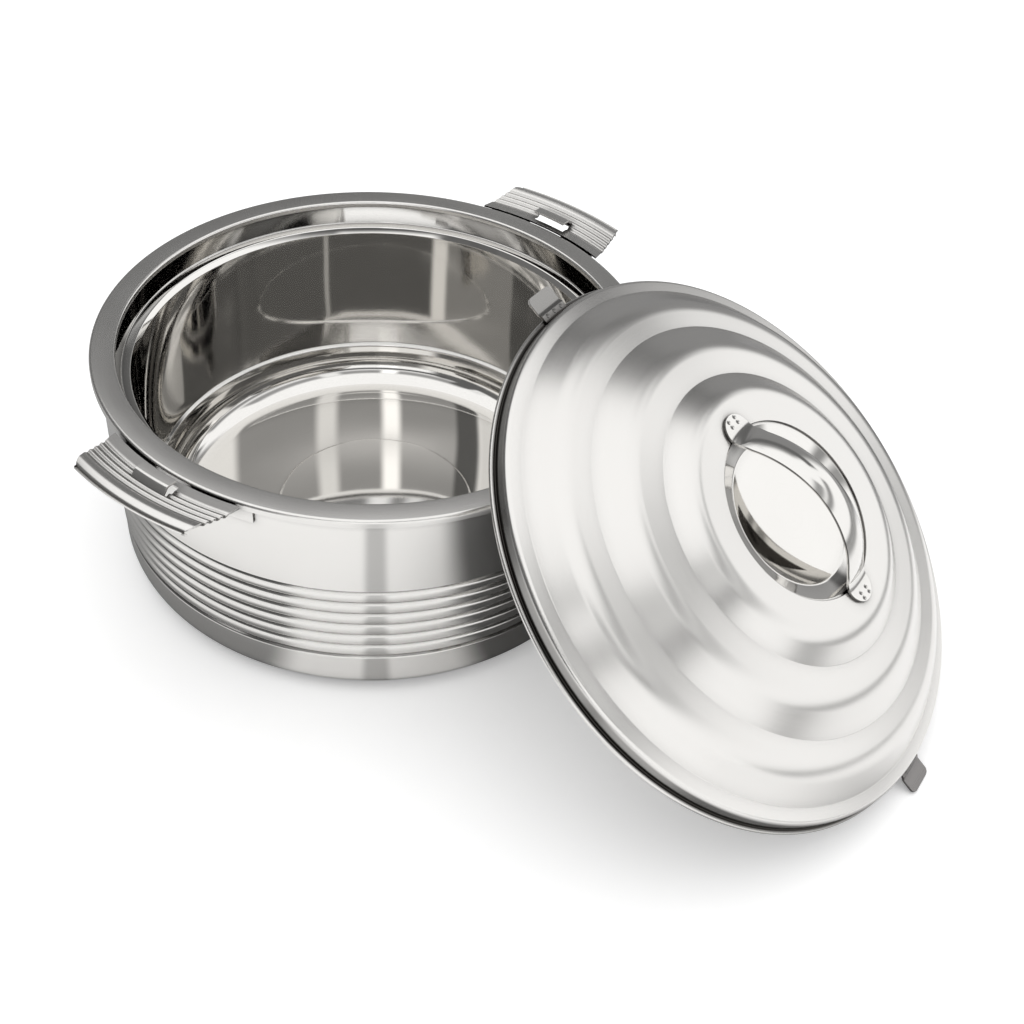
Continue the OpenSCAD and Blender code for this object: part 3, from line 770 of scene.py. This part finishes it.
def make_lid(satin, bright, mirror, shaded, at):
    for name, path, thickness, material, slot in (
            ("lid_cover", cover_path(), SHEET, satin, "satin_steel"),
            ("lid_liner", lid_liner_path(), -SHEET, mirror, "mirror_steel"),
            ("recess_dish", dish_path(), SHEET, mirror, "mirror_steel")):
        make_piece(name + "_skin", [turned(sheet(path, thickness))], material, "lid",
                   name, at=at)
    make_piece("lid_handle_strap", [strap_shell()], bright, "lid",
               "lid_handle", at=at, edge=0.25)
    # The lower lug takes the darker steel as painted shade, and the upper one plain satin.
    for name, turn, material in (("lower_lock_lug", 0, shaded), ("upper_lock_lug", math.pi, satin)):
        make_piece(name + "_plate", [lug_shell()], material, "lid", name,
                   at=at @ Matrix.Rotation(turn, 4, "Z"), edge=0.2)


# ---------------------------------------------------------------- stage

def edge_down(angle, place, soft):
    """1 below a place, 0 above it, with a soft edge."""
    return angle.node("MapRange", {"Value": angle, "From Min": place - soft,
                                   "From Max": place + soft, "To Min": 1.0, "To Max": 0.0},
                      interpolation_type="SMOOTHSTEP")


def zoned_light(direction, zones):
    """Brightness by direction: white, with darker and brighter zones."""
    x, y, z = direction.xyz()
    level = (x * x + y * y).maths("SQRT").maths("MAXIMUM", 0.001)
    height = z.maths("ARCSINE")
    light = STUDIO_WHITE
    for azimuth, half, low, high, soft, brightness in zones:
        turn = math.radians(azimuth)
        aside = ((x * math.cos(turn) + y * math.sin(turn)) / level).maths("MINIMUM", 1.0)
        blur = math.radians(soft)
        inside = (edge_down(aside.maths("ARCCOSINE"), math.radians(half), blur)
                  * edge_down(height, math.radians(high), blur)
                  * (1 - edge_down(height, math.radians(low), blur)))
        light = (1 - inside) * light + inside * brightness
    return light


def make_stage():
    """A plain white floor for the camera under soft light from above, with shade painted on it where
    the steel sees it. The steel reflects the studio's zones.
    """
    bpy.ops.mesh.primitive_circle_add(vertices=96, radius=FLOOR_RADIUS * MM, fill_type="NGON")
    floor = bpy.context.object
    floor.name = "floor"
    material, shader, place = new_material("floor_white", 0, 0.6, [FLOOR_COLOUR] * 3)
    seen = place.node("LightPath", out="Is Camera Ray")
    offset = place.node("VectorMath", {0: place, 1: (0, 0, -FLOOR_VIEW_HEIGHT * MM)})
    painted_floor_shade = zoned_light(offset.node("VectorMath", {0: offset}, operation="NORMALIZE"),
                            FLOOR_SHADE_ZONES)
    # The camera sees the floor plain; the steel sees it with the painted shade.
    plug_in(shader, "Base Color", (1 - seen) * painted_floor_shade * FLOOR_SHARE + seen * FLOOR_COLOUR)
    plug_in(shader, "Emission Color", seen * FLOOR_GLOW)
    shader.inputs["Emission Strength"].default_value = 1
    floor.data.materials.append(material)
    world = bpy.data.worlds.new("studio")
    bpy.context.scene.world = world
    world.use_nodes = True
    background = world.node_tree.nodes["Background"]
    background.inputs["Color"].default_value = (1, 1, 1, 1)
    direction = Wire(world.node_tree.nodes.new("ShaderNodeTexCoord").outputs["Generated"])
    camera_ray = direction.node("LightPath", out="Is Camera Ray")
    glossy_ray = direction.node("LightPath", out="Is Glossy Ray")
    above = direction.xyz()[2].maths("MAXIMUM", 0.0)
    soft = camera_ray + (1 - camera_ray) * above * above * OVERHEAD
    light = glossy_ray * zoned_light(direction, STUDIO) + (1 - glossy_ray) * soft
    plug_in(background, "Strength", light)


# ---------------------------------------------------------------- all together

make_camera()
lid_at = lid_place()
satin = steel("satin_steel", *SATIN)
bright = steel("bright_steel", *BRIGHT)
mirror = steel("mirror_steel", *MIRROR)
finishes = {"satin_steel": satin, "mirror_steel": mirror, "foam": foam(),
            "plug_plastic": plug_plastic()}
for part in frame["record"]["subparts"]:
    node = frame["nodes"][part["node"]]
    node.data.materials.clear()
    node.data.materials.append(finishes[part["material_slot"]])
    node.data.shade_smooth()
    node.data.set_sharp_from_angle(angle=SMOOTH_BELOW)
make_bowl(satin, bright, mirror)
make_handles(satin)
make_lid(steel("satin_steel_lid", *SATIN, at=lid_at, shade_and_marks=hem_painted_shade),
         steel("bright_steel_lid", *BRIGHT, at=lid_at, shade_and_marks=strap_shade_and_marks),
         steel("mirror_steel_lid", *MIRROR, at=lid_at), steel("shaded_steel", *SHADED_STEEL, at=lid_at),
         lid_at)
make_stage()
bpy.context.scene.view_settings.view_transform = "Standard"
